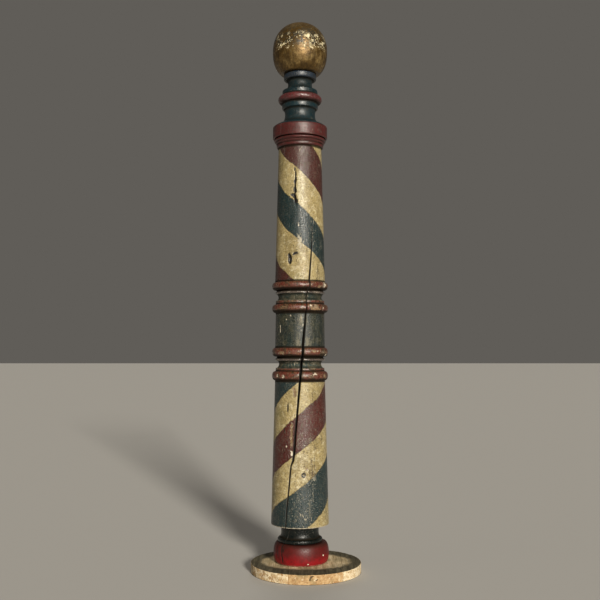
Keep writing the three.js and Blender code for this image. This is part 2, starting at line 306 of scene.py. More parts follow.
BUN_MARKS = {
    "pale": [(14.6, 42, 3, 3, 1), (52, 66, 4.4, 3.4, 1), (-150, 62, 4, 3, 1)],
    "dark": [
        (-62, 88, 2, 14, 2.4), (-60, 68, 2, 18, 2.4), (-46, 92, 2.2, 14, 2.6),
        (-44, 72, 2.2, 20, 2.6), (-42, 52, 2, 16, 2.4), (-40, 84, 1.6, 14, 1.8),
    ],
}
MARK_KINDS = ("dark", "pale", "knot", "tan")
MARK_STEEPNESS = 2.2  # how soon a mark reaches its depth, going in from its outline
MARK_FRINGE = 0.2  # how far it also dips outside its outline
MARK_CURVE = 1.5

# Places that are worn more than the rest: angle, height, half width in degrees, half height, amount. The
# ones near the front, at angles near 0, are partly a painted highlight, paler paint where the light glints.
WORN_AND_HIGHLIGHT_PLACES = [
    (2, 1386, 8, 44, 0.8), (2, 1160, 7, 40, 0.6), (30, 1150, 9, 50, 0.5), (47, 1010, 14, 56, 0.8),
    (28, 350, 7, 60, 1.2), (2, 198, 26, 34, 0.5), (20, 240, 8, 30, 0.7), (-8, 290, 14, 60, 0.7),
    (2, 440, 20, 60, 0.5), (38, 440, 20, 70, 0.3), (3, 834, 6, 34, 0.9), (-5, 790, 5, 60, 0.6),
    (14, 780, 5, 50, 0.6), (-62, 806, 9, 60, 0.8), (24, 800, 10, 60, 0.4), (28, 878, 18, 16, 0.5),
    (-60, 953, 26, 16, 0.8), (50, 953, 26, 16, 0.6), (-50, 878, 30, 16, 0.4), (-30, 735, 60, 14, 0.3),
    (40, 735, 30, 14, 0.3), (-30, 655, 40, 16, 0.3), (45, 655, 30, 16, 0.5), (180, 806, 60, 70, 0.5),
    (140, 300, 30, 110, 0.6), (-130, 1200, 30, 120, 0.5), (110, 1300, 20, 80, 0.6),
]

# Places where the paint is chipped down to its pale ground, written the same way; the ones near the front
# are partly a painted highlight.
CHIPPED_AND_HIGHLIGHT_PLACES = [
    (-4, 1108, 8, 18, 1.1), (0, 1088, 6, 18, 1.2), (4, 1068, 5, 24, 0.8), (2, 1395, 8, 30, 0.7),
    (30, 1140, 10, 60, 0.6), (4, 188, 22, 24, 0.7), (28, 340, 7, 50, 0.6), (4, 838, 5, 26, 1),
    (-10, 915, 40, 9, 0.7), (-15, 697, 40, 9, 1), (45, 697, 20, 9, 0.9), (60, 953, 16, 14, 0.7),
    (-60, 953, 16, 14, 0.5), (30, 655, 40, 12, 0.3), (40, 735, 30, 12, 0.6), (-20, 735, 40, 12, 0.4),
    (-2, 586, 3, 44, 0.7), (-9, 500, 3, 50, 0.6), (-21, 330, 3, 50, 0.6), (-28, 220, 3, 40, 0.5),
    (31, 1050, 3, 50, 0.5), (150, 810, 40, 50, 0.7), (-140, 260, 30, 60, 0.7),
]

# Places on the left and right sides where the cream is painted darker ochre, a painted shade, written the
# same way.
SIDE_SHADE_PLACES = [
    (-52, 1290, 22, 110, 1), (46, 1180, 16, 60, 0.8), (-50, 1080, 24, 80, 0.9), (-56, 480, 24, 70, 1.1),
    (-50, 300, 26, 110, 1), (52, 400, 20, 120, 0.7), (44, 600, 14, 60, 0.9), (58, 210, 24, 60, 0.8),
]

# Places at the front where the cream is painted paler ivory, a painted highlight, written the same way.
FRONT_HIGHLIGHT_PLACES = [
    (4, 1300, 8, 60, 1.4), (-2, 1225, 8, 40, 1.1), (-8, 1000, 16, 60, 0.5), (-4, 480, 12, 60, 0.8),
    (-12, 380, 8, 60, 0.8), (6, 360, 12, 40, 0.5),
]

WEAR = {"worn": WORN_AND_HIGHLIGHT_PLACES, "chipped": CHIPPED_AND_HIGHLIGHT_PLACES, "side_shade": SIDE_SHADE_PLACES, "front_highlight": FRONT_HIGHLIGHT_PLACES}

# How rough each turning is, in millimetres: how far in its surface lies; the height, scale and seed of its
# waves; the depth, scale, seed, threshold and limit of its dents, and of the chips along its edges.
AGED = {
    "inset": 0.3, "waves": [(0.35, 90, 3), (0.16, 14, 8)], "dents": [], "chips": [(3.2, 11, 21, 0.22, 1)],
    "edge_spread": 1.6,
}
GENTLY_AGED = {
    "inset": 0.2, "waves": [(0.2, 60, 5)], "dents": [], "chips": [(0.6, 9, 31, 0.3, 1)], "edge_spread": 1,
}
DENTED = {
    "inset": 0.2, "waves": [(0.3, 70, 5)], "dents": [(1.3, 22, 11, 0.3, 1), (3, 8, 17, 0.34, 0.12)],
    "chips": [], "edge_spread": 1,
}


def wrapped(angles):
    return (angles + 180) % 360 - 180


def place_field(angles, heights, places):
    """The amounts of all the places together at each point, fading out from the middle of each."""
    field = np.zeros(angles.shape)
    for angle, height, half_width, half_height, amount in places:
        across = wrapped(angles - angle) / half_width
        up = (heights - height) / half_height
        field += amount * np.exp(-(across**2) - up**2)
    return field


def mark_fields(angles, heights, radii, marks):
    """For each kind of mark, a field over 0 inside it, and the depth that the marks take away."""
    fields = {}
    depth = np.zeros(angles.shape)
    for kind in MARK_KINDS:
        fields[kind] = np.full(angles.shape, -1.0)
        for angle, height, half_width, half_height, deep in marks.get(kind, []):
            across = np.radians(wrapped(angles - angle)) * radii / half_width
            up = (heights - height) / half_height
            inside = 1 - np.hypot(across, up)
            fields[kind] = np.maximum(fields[kind], inside)
            depth += deep * np.clip(inside * MARK_STEEPNESS + MARK_FRINGE, 0, 1) ** MARK_CURVE
    return fields, depth


def noise_field(points, scale, seed):
    """Smooth noise from -1 to 1 at each point, with features of about this scale in millimetres."""
    shift = Vector((seed, seed * 0.7, seed * 1.3))
    flat = points.reshape(-1, 3) / scale
    values = [noise.noise(Vector(point) + shift) for point in flat]
    return np.array(values).reshape(points.shape[:-1])


def pits(points, rows):
    """Hollows where noise rises over a threshold, from rows of depth, scale, seed, threshold and limit."""
    depth = np.zeros(points.shape[:-1])
    for deepest, scale, seed, threshold, limit in rows:
        depth += deepest * np.clip(noise_field(points, scale, seed) - threshold, 0, limit)
    return depth


def lost_depth(points, edge, crack_depth, rough):
    """Depth lost to hand turning, shrinkage, dents and chipped edges."""
    lost = rough["inset"] + pits(points, rough["dents"])
    for height, scale, seed in rough["waves"]:
        lost -= height * noise_field(points, scale, seed) * (crack_depth == 0)
    return lost + pits(points, rough["chips"]) * np.clip(edge * rough["edge_spread"], 0, 1)


def crack_line(crack, heights):
    """The angle and the width of a crack at each height."""
    levels, angles, widths = (np.array(column, float) for column in zip(*crack))
    return np.interp(heights, levels, angles), np.interp(heights, levels, widths)


# ---- turned meshes ----


def stretch_rows(stretches):
    """Radius, height and paint of each row, with rows no further apart than each stretch allows."""
    rows = []
    for paint, points, *spacing in stretches:
        most = spacing[0] if spacing else MOULDED
        for first, second in zip(points, points[1:]):
            steps = max(1, math.ceil(math.dist(first, second) / most))
            for step in range(steps):
                share = step / steps
                rows.append((first[0] + (second[0] - first[0]) * share,
                             first[1] + (second[1] - first[1]) * share, paint))
        rows.append((*points[-1], paint))
    radii, heights, paints = zip(*rows)
    return np.array(radii), np.array(heights), list(paints)


def softened(radii, heights, passes=2, share=0.3):
    """Corners worn round: each row moves a little towards the middle of its neighbours."""
    radii, heights = radii.copy(), heights.copy()
    for _ in range(passes):
        for values in (radii, heights):
            values[1:-1] += share * ((values[:-2] + values[2:]) / 2 - values[1:-1])
    return radii, heights


def corner_fields(radii, heights, reach=3.2, full_turn=1.6):
    """How far each row lies on an outer edge, in an inner corner and on an underside, from 0 to 1."""
    step = np.stack([np.diff(radii), np.diff(heights)], 1)
    length = np.maximum(np.hypot(*step.T), 1e-6)
    heading = np.unwrap(np.arctan2(step[:, 1], step[:, 0]))
    turn = np.zeros(len(radii))
    turn[1:-1] = np.diff(heading)
    along = np.concatenate([[0], np.cumsum(length)])
    weights = np.exp(-(((along[:, None] - along[None, :]) / reach) ** 2))
    spread = weights @ turn / full_turn
    slope = np.append(step[:, 0] / length, 0)
    return [np.clip(field, 0, 1)[:, None] for field in (spread, -spread, slope)]


def plain_angles(row_count, columns):
    return np.tile(np.linspace(-180, 180, columns, endpoint=False), (row_count, 1))


def cracked_angles(radii, heights):
    """Angles of every column on every row, and how deep in a crack each one is, in millimetres."""
    shares = np.array(CRACK_COLUMNS)
    angle_groups, depth_groups = [], []
    for crack in CRACKS:
        centre, width = crack_line(crack, heights)
        half = np.maximum(width, LEAST_CRACK)[:, None] / 2
        offset = shares[:, 0] * half + shares[:, 1]
        angle_groups.append(centre[:, None] + np.degrees(offset / np.maximum(radii, LEAST_RADIUS)[:, None]))
        depth = np.minimum(CRACK_DEPTH * width, DEEPEST_CRACK) * (width > OPEN_CRACK)
        depth_groups.append(shares[:, 2] * depth[:, None])
    angles, depths = [], []
    for index, count in enumerate(PLAIN_COLUMNS):
        start = angle_groups[index][:, -1]
        end = angle_groups[(index + 1) % len(CRACKS)][:, 0]
        between = np.arange(1, count + 1) / (count + 1)
        plain = start[:, None] + ((end - start) % 360)[:, None] * between
        angles += [angle_groups[index], plain]
        depths += [depth_groups[index], np.zeros(plain.shape)]
    return np.concatenate(angles, 1), np.concatenate(depths, 1)


def surface_points(radii, angles, heights):
    turn = np.radians(angles)
    return np.stack([radii * np.sin(turn), -radii * np.cos(turn), heights], -1)


def grid_faces(row_count, column_count):
    rows, columns = np.meshgrid(np.arange(row_count - 1), np.arange(column_count), indexing="ij")
    here = rows * column_count + columns
    beside = rows * column_count + (columns + 1) % column_count
    faces = np.stack([here, beside, beside + column_count, here + column_count], -1)
    return faces.reshape(-1, 4).tolist()


def end_fans(row_count, column_count):
    """Triangles that close the two ends, each round a point that comes after the grid's."""
    low = row_count * column_count
    last_row = low - column_count
    fans = []
    for column in range(column_count):
        beside = (column + 1) % column_count
        fans += [[low, beside, column], [low + 1, last_row + column, last_row + beside]]
    return fans


def new_object(name, data):
    made = bpy.data.objects.new(name, data)
    bpy.context.scene.collection.objects.link(made)
    return made


def new_piece(name, vertices, faces, materials, slots):
    """A mesh object in metres, smooth shaded, with one material slot for each paint."""
    mesh = bpy.data.meshes.new(name)
    mesh.from_pydata((vertices * MM).tolist(), [], faces)
    mesh.polygons.foreach_set("use_smooth", [True] * len(faces))
    for material in materials:
        mesh.materials.append(material)
    mesh.polygons.foreach_set("material_index", slots)
    mesh.validate()
    mesh.update()
    return new_object(name, mesh)


def store(piece, name, values):
    attribute = piece.data.attributes.new(name, "FLOAT", "POINT")
    attribute.data.foreach_set("value", np.asarray(values, np.float32).ravel())


def turned_piece(name, stretches, paints, rough, marks, columns=None, axis_x=0):
    """A turning as one closed mesh. With no column count it has the cracks and the wear of the post."""
    cracked = columns is None
    radii, heights, row_paints = stretch_rows(stretches)
    radii, heights = softened(radii, heights)
    edge, corner, below = corner_fields(radii, heights)
    if cracked:
        angles, crack_depth = cracked_angles(radii, heights)
    else:
        angles = plain_angles(len(radii), columns)
        crack_depth = np.zeros(angles.shape)
    tile = np.ones(angles.shape)
    height_grid = heights[:, None] * tile
    radius_grid = radii[:, None] * tile
    fields, mark_depth = mark_fields(angles, height_grid, radius_grid, marks)
    points = surface_points(radius_grid, angles, height_grid)
    radius_grid -= lost_depth(points, edge, crack_depth, rough) + mark_depth + crack_depth
    points = surface_points(radius_grid, angles, height_grid)
    points[..., 0] += axis_x
    ends = [[axis_x, 0, heights[0]], [axis_x, 0, heights[-1]]]
    fans = end_fans(*angles.shape)
    used = list(dict.fromkeys(row_paints))
    materials = [paints[paint] for paint in used]
    slots = np.repeat([used.index(paint) for paint in row_paints[1:]], angles.shape[1])
    if cracked:
        deep = np.maximum(crack_depth, np.roll(crack_depth, -1, 1))[:-1] > WOOD_DEPTH
        slots = np.where(deep.ravel(), len(materials), slots)
        materials.append(paints["crack_wood"])
    piece = new_piece(
        name, np.concatenate([points.reshape(-1, 3), ends]), grid_faces(*angles.shape) + fans, materials,
        np.concatenate([slots, np.zeros(len(fans), int)]),
    )
    for label, places in WEAR.items():
        fields[label] = place_field(angles, height_grid, places if cracked else [])
    fields.update(edge=edge * tile, corner=corner * tile, below=below * tile)
    for label, values in fields.items():
        store(piece, label, np.concatenate([values.ravel(), [0, 0]]))
    return piece


# ---- material helpers ----


class Look:
    """A material, with short ways to add and join its nodes."""

    def __init__(self, name):
        self.material = bpy.data.materials.new(name)
        self.material.use_nodes = True
        self.tree = self.material.node_tree
        self.surface = self.tree.nodes["Principled BSDF"]
        self.place = self.node("TexCoord").outputs["Object"]

    def node(self, kind, *inputs, **settings):
        made = self.tree.nodes.new("ShaderNode" + kind)
        for key, value in settings.items():
            setattr(made, key, value)
        for socket, value in zip(made.inputs, inputs):
            self.join(value, socket)
        return made

    def join(self, value, socket):
        """Links a socket, or sets a constant on it. A constant colour has three numbers."""
        if isinstance(value, bpy.types.NodeSocket):
            self.tree.links.new(value, socket)
        elif socket.type == "RGBA":
            socket.default_value = (*value, 1)
        else:
            socket.default_value = value

    def fill(self, made, **inputs):
        """Joins values to a node's inputs by name."""
        for name, value in inputs.items():
            self.join(value, made.inputs[name])
        return made

    def math(self, operation, first, second=0):
        return self.node("Math", first, second, operation=operation).outputs[0]

    def product(self, first, second):
        return self.math("MULTIPLY", first, second)

    def sum(self, *parts):
        """Adds numbers, sockets and (socket, weight) pairs."""
        total = None
        for part in parts:
            value, weight = part if isinstance(part, tuple) else (part, 1)
            if total is not None:
                total = self.node("Math", value, weight, total, operation="MULTIPLY_ADD").outputs[0]
            else:
                total = value if weight == 1 else self.product(value, weight)
        return total

    def stretched(self, place, factors):
        return self.node("VectorMath", place, factors, operation="MULTIPLY").outputs[0]

    def noise(self, scale, detail=3, roughness=0.55, stretch=None):
        """Noise from 0 to 1. A stretch under 1 draws it out along that axis."""
        place = self.stretched(self.place, stretch) if stretch else self.place
        made = self.node("TexNoise")
        self.fill(made, Vector=place, Scale=scale, Detail=detail, Roughness=roughness)
        return made.outputs["Fac"]

    def centred_noise(self, scale, detail=3):
        return self.math("SUBTRACT", self.noise(scale, detail, 0.65), 0.5)

    def cells(self, scale):
        """Distance to the nearest edge of a cell, for crazing."""
        made = self.node("TexVoronoi", feature="DISTANCE_TO_EDGE")
        return self.fill(made, Vector=self.place, Scale=scale).outputs["Distance"]

    def attribute(self, name):
        return self.node("Attribute", attribute_name=name).outputs["Fac"]

    def rise(self, value, low, high):
        """0 below low, 1 above high, smooth between; low over high turns it round."""
        made = self.node("MapRange", value, low, high, 0, 1, interpolation_type="SMOOTHSTEP")
        return made.outputs[0]

    def mark(self, kind, ragged, raggedness, low, high):
        """Where one kind of mark shows, with its outline made ragged by noise."""
        return self.rise(self.sum(self.attribute(kind), (ragged, raggedness)), low, high)

    def mix(self, factor, first, second, blend="MIX"):
        made = self.node("Mix", data_type="RGBA", blend_type=blend, clamp_factor=True)
        for index, value in ((0, factor), (6, first), (7, second)):
            self.join(value, made.inputs[index])
        return made.outputs[2]

    def cover(self, paint, over, where, strength):
        """Lays a colour over the paint where the field says, no thicker than the strength."""
        return self.mix(self.product(where, strength), paint, over)

    def ramp(self, factor, stops, interpolation="LINEAR"):
        made = self.node("ValToRGB", factor)
        band = made.color_ramp
        band.interpolation = interpolation
        for position, _ in stops[2:]:
            band.elements.new(position)
        for element, (position, colour) in zip(band.elements, stops):
            element.position = position
            element.color = (*colour, 1)
        return made.outputs[0]

    def bump(self, height, distance, strength):
        return self.fill(self.node("Bump"), Strength=strength, Distance=distance, Height=height).outputs[0]

    def finish(self, colour, roughness, normal=None, specular=0.5, metallic=0):
        self.join(colour, self.surface.inputs["Base Color"])
        self.join(specular, self.surface.inputs["Specular IOR Level"])
        self.fill(self.surface, Roughness=roughness, Metallic=metallic)
        if normal:
            self.fill(self.surface, Normal=normal)
        return self.material


# Linear colours of the paints and the woods.
CREAM = (0.45, 0.36, 0.17)
IVORY = (0.72, 0.64, 0.42)
OCHRE = (0.21, 0.155, 0.055)
MOSS = (0.17, 0.165, 0.065)
UMBER = (0.095, 0.062, 0.025)
BURGUNDY = (0.06, 0.012, 0.009)
RED = (0.075, 0.011, 0.007)
BLUE = (0.009, 0.026, 0.028)
DIRT_AND_SHADE = (0.01, 0.008, 0.005)
WHITE = (1, 1, 1)
OUTLINE = (0.22, 0.17, 0.1)
DULL_WOOD = (0.17, 0.165, 0.135)
TAN_WOOD = (0.24, 0.145, 0.075)
PALE_CHIP = (0.56, 0.5, 0.39)
GROUND_COAT = (0.4, 0.355, 0.26)
CRACK_DARK = (0.01, 0.008, 0.006)
DARK_GOLD = (0.04, 0.021, 0.003)

# The painter's unsteady hand: scale and detail of each noise, and how far in metres it moves a line.
WOBBLES = [(9, 1, 0.024), (70, 3, 0.01), (300, 2, 0.006)]


@dataclass
class Stripes:
    """Painted stripes that wind round a shaft: where they lie and how they repeat."""

    top: float  # height in metres, at the front, of the upper edge of the first stripe
    turn: float  # rise in metres of one whole turn
    lean: int  # 1 when the stripes fall to the left, -1 when they fall to the right
    sway: float  # how far the painter's line strays from an even spiral
    cuts: tuple  # shares of a turn, down from the top, where each stripe ends
    colours: tuple

    def share(self, look):
        """How far down its turn each point lies, from 0 to 1."""
        x, y, z = look.node("SeparateXYZ", look.place).outputs[:3]
        angle = look.math("ARCTAN2", x, look.product(y, -1))
        level = look.sum(
            self.top,
            (z, -1),
            (angle, self.lean * self.turn / (2 * math.pi)),
            (look.math("SINE", angle), -self.lean * self.sway),
            *[(look.centred_noise(scale, detail), width) for scale, detail, width in WOBBLES],
        )
        return look.math("FRACT", look.math("DIVIDE", level, self.turn))

    def paint(self, look):
        """The colour of each stripe, and the dark lines between them."""
        share = self.share(look)
        bands = look.ramp(share, list(zip([0, *self.cuts], self.colours)), "CONSTANT")
        stops = [(0, OUTLINE), (0.006, WHITE)]
        for cut in self.cuts:
            stops += [(cut - 0.005, WHITE), (cut, OUTLINE), (cut + 0.006, WHITE)]
        return bands, look.ramp(share, stops + [(0.994, WHITE), (1, OUTLINE)])


UPPER_STRIPES = Stripes(1.448, 0.494, -1, 0.012, (0.243, 0.474, 0.704), (BURGUNDY, CREAM, BLUE, CREAM))
LOWER_STRIPES = Stripes(0.639, 0.492, 1, 0.008, (0.222, 0.462, 0.7), (CREAM, RED, CREAM, BLUE))


# ---- paints and woods ----


def cream_stains_and_painted_light(look, paint):
    """Olive and brown stains in the cream paint with darker ochre on the sides as painted shade, and ivory
    patches with a painted highlight at the front.
    """
    stains_and_side_shade = look.sum(look.noise(16, 5, 0.65, (1, 1, 0.6)), (look.attribute("side_shade"), 0.07))
    mossy = look.noise(11, 5, 0.7)
    ivory_and_highlight = look.sum(look.noise(60, 5, 0.75), (look.attribute("front_highlight"), 0.13))
    specks = look.noise(150, 4, 0.8)
    # The ochre carries painted shade on the sides, and the ivory a painted highlight at the front.
    paint = look.cover(paint, OCHRE, look.rise(stains_and_side_shade, 0.46, 0.62), 0.55)
    paint = look.cover(paint, MOSS, look.rise(mossy, 0.55, 0.68), 0.5)
    paint = look.cover(paint, IVORY, look.rise(ivory_and_highlight, 0.5, 0.68), 0.8)
    return look.cover(paint, UMBER, look.rise(specks, 0.5, 0.62), 0.55)


def marked(look, paint, grain):
    """Paints the tan, pale, knotty and dark marks, and says where the pale ones lie."""
    ragged = look.centred_noise(90, 4)
    tan_wood = look.ramp(grain, [(0.4, TAN_WOOD), (0.56, UMBER), (0.66, PALE_CHIP)])
    pale_wood = look.mix(look.rise(grain, 0.5, 0.64), PALE_CHIP, TAN_WOOD)
    pale = look.mark("pale", ragged, 3, 0.25, 0.4)
    paint = look.mix(look.mark("tan", ragged, 3, 0.15, 0.35), paint, tan_wood)
    paint = look.mix(pale, paint, pale_wood)
    paint = look.mix(look.mark("knot", ragged, 0.6, 0, 0.2), paint, CRACK_DARK)
    paint = look.mix(look.mark("knot", ragged, 0.6, 0.55, 0.7), paint, OCHRE)
    return look.mix(look.mark("dark", ragged, 0.9, 0, 0.22), paint, CRACK_DARK), pale


def old_paint(
    name, colour=None, second=None, under=DULL_WOOD, wear=0, streaks=0.5, shine=0.38, mottle=0.5,
    gloss=0.45, flecks=0.5, grime_and_shade=0.9, underside=0, edge_wear=0.08, relief=0.0012, sparkle=0.8,
    stripes=None,
):
    """Aged oil paint: uneven tone, grime with painted shade in corners, painted shade on undersides,
    scratches, and wood showing where it has worn.
    """
    look = Look(name)
    middle = look.noise(34, 4, 0.6)
    small = look.noise(115, 4, 0.7)
    grain = look.noise(210, 3, 0.8)
    fine = look.noise(330, 3, 0.7)
    streak = look.noise(80, 4, 0.65, (1, 1, 0.08))
    scratch = look.noise(260, 3, 0.7, (1, 1, 0.04))
    # The worn places near the front make the paint paler partly as a painted highlight.
    wear_and_highlight_place = look.attribute("worn")
    speck_colour = DIRT_AND_SHADE
    if stripes:
        colour, outline = stripes.paint(look)
        is_cream = look.rise(look.node("RGBToBW", colour).outputs[0], 0.12, 0.2)
        colour = look.mix(is_cream, colour, cream_stains_and_painted_light(look, colour))
        colour = look.mix(0.8, colour, outline, "MULTIPLY")
        under = look.mix(is_cream, under, UMBER)
        speck_colour = look.mix(is_cream, DIRT_AND_SHADE, OCHRE)
    if second:
        patches = look.sum((middle, 0.6), (small, 0.4))
        colour = look.mix(look.rise(patches, 0.47, 0.56), colour, second)

    tone = look.sum((look.noise(7, 3), 0.35), (middle, 0.4), (small, 0.25))
    shade = look.ramp(tone, [(0.4, (1 - mottle,) * 3), (0.6, WHITE)])
    paint = look.mix(1, colour, shade, "MULTIPLY")
    paint = look.cover(paint, speck_colour, look.rise(grain, 0.5, 0.62), 0.7)
    paint = look.cover(paint, speck_colour, look.rise(small, 0.54, 0.64), 0.45)
    rubbed_and_highlight = look.sum(flecks, (wear_and_highlight_place, 0.6))
    spots = look.rise(look.sum((grain, 0.7), (fine, 0.3)), 0.55, 0.63)
    paint = look.cover(paint, under, spots, rubbed_and_highlight)
    lines = look.rise(look.sum((scratch, 0.5), (grain, 0.5)), 0.55, 0.62)
    paint = look.cover(paint, under, lines, look.product(rubbed_and_highlight, 0.42))
    crazing = look.rise(look.cells(165), 0.05, 0.015)
    paint = look.cover(paint, DIRT_AND_SHADE, crazing, 0.3)

    wear_and_highlight_field = look.sum(
        (streak, streaks), (middle, 0.8 * (1 - streaks)), (small, 0.2 * (1 - streaks)),
        (look.centred_noise(330), 0.45), (look.attribute("edge"), edge_wear), (wear_and_highlight_place, 0.1),
    )
    worn = look.rise(wear_and_highlight_field, 0.6 - wear, 0.635 - wear)
    # The chipped places near the front show pale ground partly as a painted highlight.
    chipping_and_highlight = look.sum(look.noise(150, 4, 0.75, (1, 1, 0.6)), (look.attribute("chipped"), 0.16))
    chipped = look.product(look.rise(chipping_and_highlight, 0.665, 0.69), 0.8)
    wood = look.mix(look.rise(streak, 0.42, 0.6), under, look.mix(0.6, under, DIRT_AND_SHADE))
    paint = look.cover(paint, wood, worn, 0.9)
    paint = look.mix(chipped, paint, GROUND_COAT)
    # Inner corners darken with grime and painted shade; rows that face down darken with painted shade, as
    # much as the underside weight says.
    corner, below = look.attribute("corner"), look.attribute("below")
    corners_and_undersides = look.sum(corner, (below, underside), (middle, 0.5))
    grime_and_shade_mask = look.rise(corners_and_undersides, 0.3, 0.58)
    paint = look.cover(paint, DIRT_AND_SHADE, grime_and_shade_mask, grime_and_shade)
    paint, pale = marked(look, paint, grain)

    roughness = look.sum(
        shine - 0.2 * sparkle, (streak, 0.4 * sparkle), (worn, 0.25), (grime_and_shade_mask, 0.3),
        (look.centred_noise(260), sparkle),
    )
    height = look.sum(
        (worn, -0.4), (crazing, -0.2), (fine, 0.5), (grain, 0.7), (small, 0.6), (scratch, 0.5),
        (streak, 0.4), (pale, -0.8), (chipped, -0.6),
    )
    specular = look.sum(gloss, (grime_and_shade_mask, -0.85 * gloss))
    return look.finish(paint, roughness, look.bump(height, relief, 0.9), specular)


def bun_paint():
    """Red enamel, darker towards the top. Heights are in metres."""
    look = Look("bun_red")
    z = look.node("SeparateXYZ", look.place).outputs["Z"]
    middle = look.noise(30, 4, 0.6)
    fine = look.noise(190, 4, 0.75)
    level = look.sum(z, (look.centred_noise(30), 0.03))
    red = look.mix(look.rise(level, 0.042, 0.078), (0.2, 0.004, 0.007), (0.075, 0.006, 0.005))
    red = look.mix(look.rise(level, 0.084, 0.1), red, (0.035, 0.008, 0.005))
    red = look.cover(red, (0.05, 0.006, 0.005), look.rise(middle, 0.46, 0.6), 0.35)
    red = look.cover(red, (0.035, 0.005, 0.004), look.rise(fine, 0.52, 0.66), 0.45)
    lip = look.product(look.rise(z, 0.0385, 0.0365), look.rise(fine, 0.4, 0.55))
    red = look.cover(red, (0.3, 0.17, 0.13), lip, 0.6)
    ragged = look.centred_noise(90, 4)
    pale = look.mark("pale", ragged, 3, 0.25, 0.4)
    red = look.mix(pale, red, PALE_CHIP)
    red = look.mix(look.mark("dark", ragged, 0.5, -0.1, 0.15), red, CRACK_DARK)
    roughness = look.sum(0.46, (look.centred_noise(200), 0.8))
    height = look.sum((fine, 0.6), (middle, 0.4), (pale, -0.6))
    return look.finish(red, roughness, look.bump(height, 0.0008, 0.8), specular=0.27)


def raw_wood(name, light, dark, roughness=0.85):
    """Bare turned wood with its grain along Z."""
    look = Look(name)
    grain = look.noise(130, 4, 0.6, (1, 1, 0.05))
    colour = look.mix(look.rise(grain, 0.35, 0.68), light, dark)
    return look.finish(colour, roughness, look.bump(grain, 0.0005, 0.6))


def flaked_places(look, x, z, middle, fine):
    """Where the gilding has flaked away: torn patches and threads in a band, thinner towards the sides as
    painted shade, and strays all over.
    """
    band = look.product(look.rise(z, 1.716, 1.732), look.rise(z, 1.79, 1.762))
    torn = look.sum((look.noise(52, 4, 0.65), 0.85), (fine, 0.15))
    ridge = look.sum(look.centred_noise(26), (look.centred_noise(120, 2), 0.2))
    thread = look.rise(look.math("ABSOLUTE", ridge), 0.018, 0.009)
    threads = look.product(thread, look.rise(middle, 0.47, 0.53))
    flaked = look.math("MAXIMUM", look.rise(torn, 0.572, 0.6), threads)
    front = look.rise(look.math("ABSOLUTE", x), 0.088, 0.066)
    flaked = look.product(look.product(flaked, band), look.sum(0.2, (front, 0.8)))
    return look.math("MAXIMUM", flaked, look.product(look.rise(fine, 0.66, 0.69), 0.7))


def gilding():
    """Old gilding: bronze where it is whole, brown where it is dirty, cream where it has flaked away."""
    look = Look("gilding")
    x, _, z = look.node("SeparateXYZ", look.place).outputs[:3]
    middle = look.noise(34, 5, 0.7)
    fine = look.noise(150, 4, 0.75)
    streak = look.noise(75, 5, 0.7, (1, 1, 0.12))
    tone = look.sum((middle, 0.7), (look.noise(12, 2), 0.3))
    golds = [(0.36, DARK_GOLD), (0.5, (0.125, 0.071, 0.016)), (0.64, (0.32, 0.215, 0.078))]
    gold = look.ramp(tone, golds)
    gold = look.cover(gold, DARK_GOLD, look.rise(fine, 0.48, 0.62), 0.5)
    drips = look.product(look.rise(streak, 0.46, 0.58), look.rise(z, 1.73, 1.705))
    gold = look.cover(gold, DARK_GOLD, drips, 0.6)
    above = look.product(look.rise(z, 1.722, 1.746), look.rise(z, 1.84, 1.78))
    patches = look.sum((middle, 0.6), (fine, 0.4))
    tarnish = look.product(look.rise(patches, 0.46, 0.53), above)
    gold = look.cover(gold, (0.012, 0.01, 0.005), tarnish, 0.92)
    flaked = flaked_places(look, x, z, middle, fine)
    flake_colour = look.mix(look.rise(fine, 0.46, 0.62), (0.66, 0.58, 0.38), (0.34, 0.27, 0.11))
    colour = look.mix(flaked, gold, flake_colour)
    metallic = look.sum(0.62, (flaked, -0.62), (tarnish, -0.4))
    roughness = look.sum(0.36, (flaked, 0.3), (middle, 0.15), (look.centred_noise(150), 0.6))
    height = look.sum((flaked, -0.8), (fine, 0.6), (streak, 0.3))
    return look.finish(colour, roughness, look.bump(height, 0.001, 0.8), 0.7, metallic)


def board_top(look, grain, middle, fine):
    """The top of the base: pale worn wood inside a dark, weathered rim."""
    top = look.ramp(
        grain, [(0.34, (0.26, 0.19, 0.095)), (0.5, (0.55, 0.43, 0.25)), (0.66, (0.8, 0.67, 0.44))],
    )
    top = look.cover(top, (0.21, 0.18, 0.095), look.rise(middle, 0.46, 0.62), 0.45)
    local = look.node("VectorMath", look.place, (-BASE_X * MM, 0, 0), operation="ADD").outputs[0]
    squeezed = look.stretched(local, (1, 1.3, 0))
    distance = look.node("VectorMath", squeezed, operation="LENGTH").outputs["Value"]
    wobble = look.sum((look.centred_noise(26, 4), 0.03), (look.centred_noise(95), 0.012))
    reach = look.sum(distance, wobble, (grain, 0.05), -0.025)
    rim = look.sum((look.rise(reach, 0.11, 0.165), 0.35), (look.rise(reach, 0.138, 0.158), 0.6))
    weathered = look.ramp(
        look.sum((grain, 0.6), (middle, 0.4)),
        [(0.4, (0.02, 0.018, 0.01)), (0.52, (0.052, 0.046, 0.026)), (0.64, (0.14, 0.12, 0.072))],
    )
    top = look.mix(rim, top, weathered)
    return look.cover(top, (0.04, 0.032, 0.016), look.rise(fine, 0.5, 0.64), 0.25)


